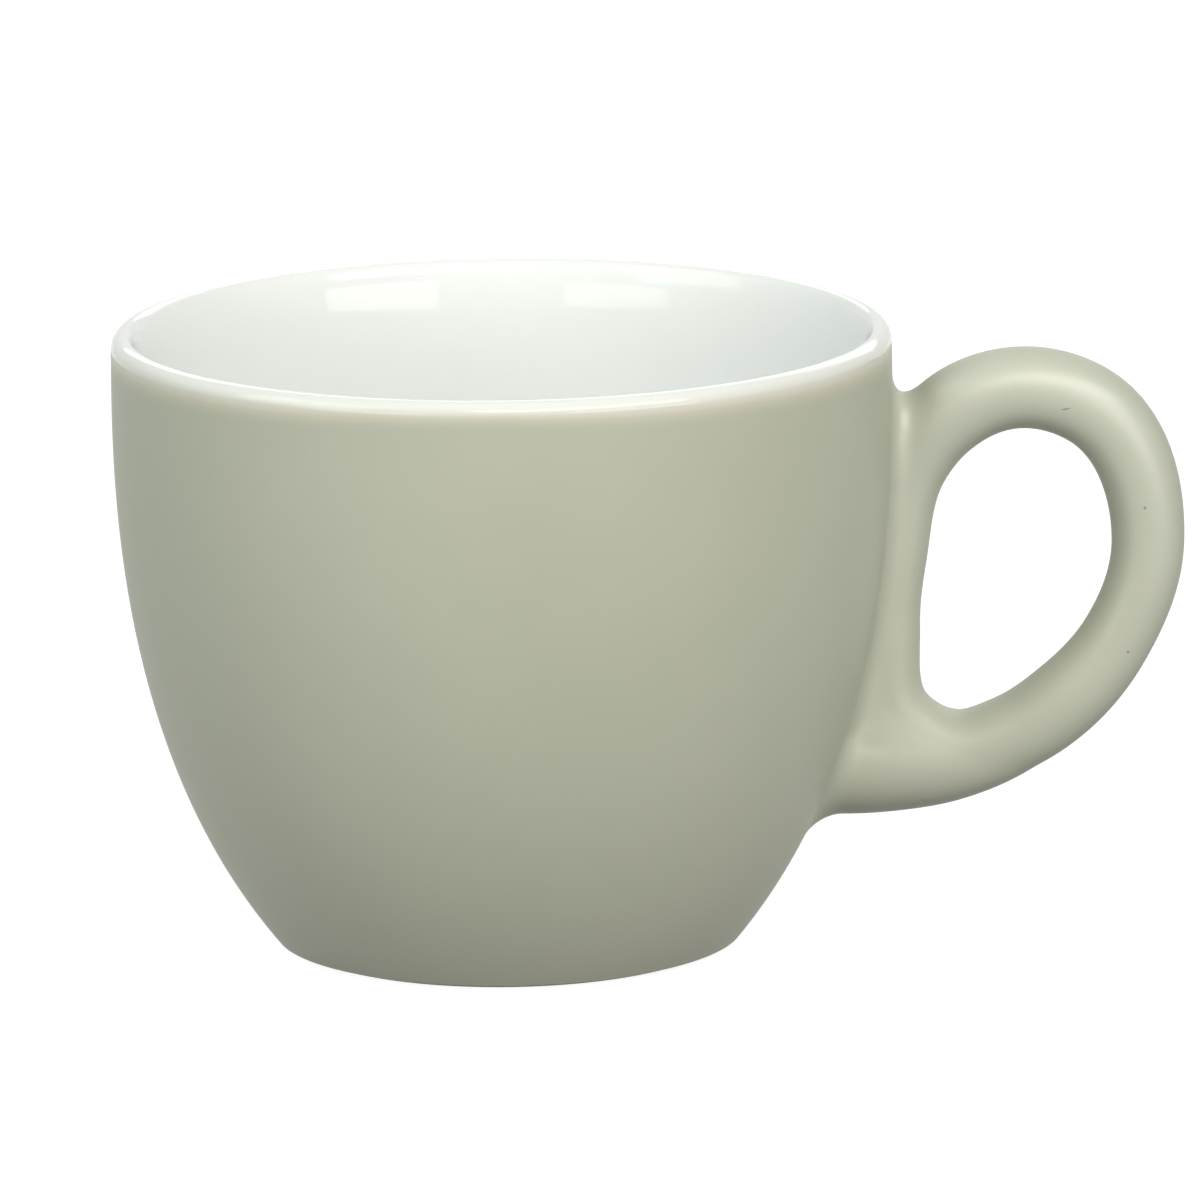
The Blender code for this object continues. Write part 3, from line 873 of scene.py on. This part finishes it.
def makeBisque(name, light, dark):
    material, tree, shader, position = newMaterial(name, Specular_IOR_Level=0.35)
    flow = useGroup(tree, glazeFlow, Position=position, **bisque["scales"])
    body = mixColour(tree, flow["Cloud"], light, dark)
    body = mixColour(tree, remap(tree, flow["Grain"], 0, 1, 0.0, bisque["grainShare"]), body, dark)
    feed(tree, shader.inputs["Base Color"], body)
    feed(tree, shader.inputs["Roughness"], remap(tree, flow["Peel"], *bisque["roughRange"], *bisque["rough"]))
    addBump(tree, shader, flow["Grain"], bisque["grainStrength"], bisque["grain"])
    return material


sageGlaze = makeSageGlaze()
linerWhite = makeWhiteGlaze("linerWhite", True)
baseWhite = makeWhiteGlaze("baseWhite", False)
barePorcelain = makeBisque("barePorcelain", bisque["light"], bisque["dark"])
jointSlip = makeBisque("jointSlip", bisque["slip"], bisque["dark"])
for piece, finish in ((sageCoat, sageGlaze), (whiteLiner, linerWhite), (clayBody, barePorcelain),
                      (porcelainHandle, barePorcelain), (slipSeam, jointSlip), (baseGlaze, baseWhite)):
    piece.data.materials.append(finish)
print("finishes set")

# floor and light
stage = dict(
    size=6.0, segments=8, floorGrey=0.24, floorGlow=0.92,
    ambient=0.195, ambientColour=(0.92, 1.0, 0.95, 1),
)


def seenRays(tree):
    # 1 for what the camera sees, straight or mirrored or through glass
    rays = addNode(tree, "ShaderNodeLightPath")
    seen = math2(tree, "MAXIMUM", rays.outputs["Is Camera Ray"], rays.outputs["Is Glossy Ray"])
    return math2(tree, "MAXIMUM", seen, rays.outputs["Is Transmission Ray"])


def makeFloor():
    work = bmesh.new()
    count = stage["segments"]
    bmesh.ops.create_grid(work, x_segments=count, y_segments=count, size=stage["size"] / 2)
    floor = makeObject("floor", work)
    material = bpy.data.materials.new("paleFloor")
    material.use_nodes = True
    tree = material.node_tree
    tree.nodes.remove(tree.nodes["Principled BSDF"])
    matt = addNode(tree, "ShaderNodeBsdfDiffuse")
    matt.inputs["Color"].default_value = (stage["floorGrey"],) * 3 + (1,)
    glow = addNode(tree, "ShaderNodeEmission")
    feed(tree, glow.inputs["Strength"], math2(tree, "MULTIPLY", seenRays(tree), stage["floorGlow"]))
    both = addNode(tree, "ShaderNodeAddShader")
    feed(tree, both.inputs[0], matt.outputs[0])
    feed(tree, both.inputs[1], glow.outputs[0])
    feed(tree, tree.nodes["Material Output"].inputs["Surface"], both.outputs[0])
    floor.data.materials.append(material)


def makeWorld():
    world = bpy.data.worlds.new("studio")
    world.use_nodes = True
    scene.world = world
    tree = world.node_tree
    soft = tree.nodes["Background"]
    soft.inputs["Color"].default_value = stage["ambientColour"]
    soft.inputs["Strength"].default_value = stage["ambient"]
    plain = addNode(tree, "ShaderNodeBackground")
    plain.inputs["Color"].default_value = (1, 1, 1, 1)
    pick = addNode(tree, "ShaderNodeMixShader")
    feed(tree, pick.inputs[0], seenRays(tree))
    feed(tree, pick.inputs[1], soft.outputs[0])
    feed(tree, pick.inputs[2], plain.outputs[0])
    feed(tree, tree.nodes["World Output"].inputs["Surface"], pick.outputs[0])


warm, cool = (1.0, 0.965, 0.92), (0.95, 1.0, 0.96)
lamps = dict(
    right=dict(azimuth=39.5, elevation=9.5, roll=-5.0, distance=1.2,
               size=(0.82, 0.36), watts=3.2, colour=warm),
    left=dict(azimuth=-38.5, elevation=7.5, roll=5.0, distance=1.2,
              size=(0.74, 0.30), watts=1.9, colour=warm),
    front=dict(azimuth=26.0, elevation=40.0, roll=0.0, distance=1.3,
               size=(1.4, 0.46), watts=12.0, colour=warm),
    side=dict(azimuth=-66.0, elevation=35.0, roll=0.0, distance=1.3,
              size=(0.9, 0.9), watts=6.6, colour=cool),
    back=dict(azimuth=172.0, elevation=30.0, roll=0.0, distance=1.3,
              size=(1.3, 0.6), watts=4.5, colour=cool),
)


def makeLamp(name, lamp):
    data = bpy.data.lights.new(name, "AREA")
    data.shape = "RECTANGLE"
    data.size, data.size_y = lamp["size"]
    data.energy = lamp["watts"]
    data.color = lamp["colour"]
    obj = bpy.data.objects.new(name, data)
    scene.collection.objects.link(obj)
    azimuth, elevation = math.radians(lamp["azimuth"]), math.radians(lamp["elevation"])
    aim = Vector((math.sin(azimuth) * math.cos(elevation), -math.cos(azimuth) * math.cos(elevation),
                  math.sin(elevation)))
    obj.location = Vector((axisX, 0, bowl["height"] / 2)) + aim * lamp["distance"]
    turn = aim.to_track_quat("Z", "Y").to_matrix() @ Matrix.Rotation(math.radians(lamp["roll"]), 3, "Z")
    obj.rotation_euler = turn.to_euler()


makeFloor()
makeWorld()
for name, lamp in lamps.items():
    makeLamp(name + "Lamp", lamp)
print("floor and light set")
